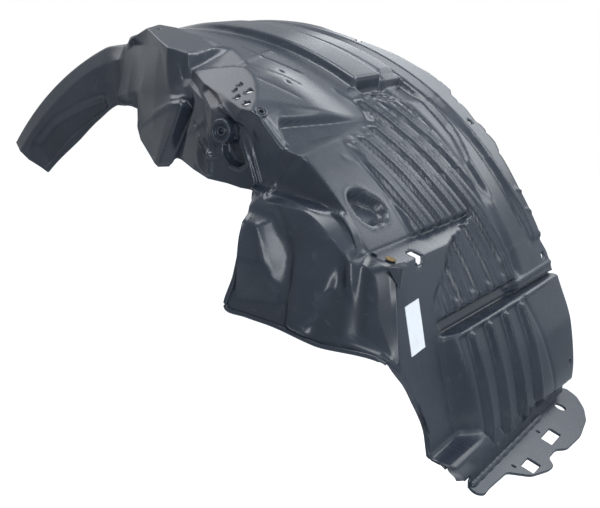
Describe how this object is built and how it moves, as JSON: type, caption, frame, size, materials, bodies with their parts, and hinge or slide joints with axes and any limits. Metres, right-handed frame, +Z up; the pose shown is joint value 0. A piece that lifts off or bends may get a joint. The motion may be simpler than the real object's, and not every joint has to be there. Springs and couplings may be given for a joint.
{
  "type": "wheel arch liner",
  "caption": "Moulded sheet liner for a wheel arch, with ribbed band, stepped inner wall, front arm and slotted bottom flange.",
  "frame": {"origin": "middle of the screw hole at the top of the outboard edge, half way through the sheet", "axes": "+Z up along that hole, +X to the rear end with the bottom flange, +Y out of the car"},
  "size_m": [0.7536, 0.394, 0.4339],
  "materials": {
    "liner_plastic": "satin dark blue-grey polypropylene",
    "label_paper": "matt white label stock, blank",
    "clip_metal": "dull yellow passivated metal"
  },
  "bodies": {
    "root": {"liner": "liner_plastic", "label": "label_paper", "clip": "clip_metal"}
  },
  "joints": []
}
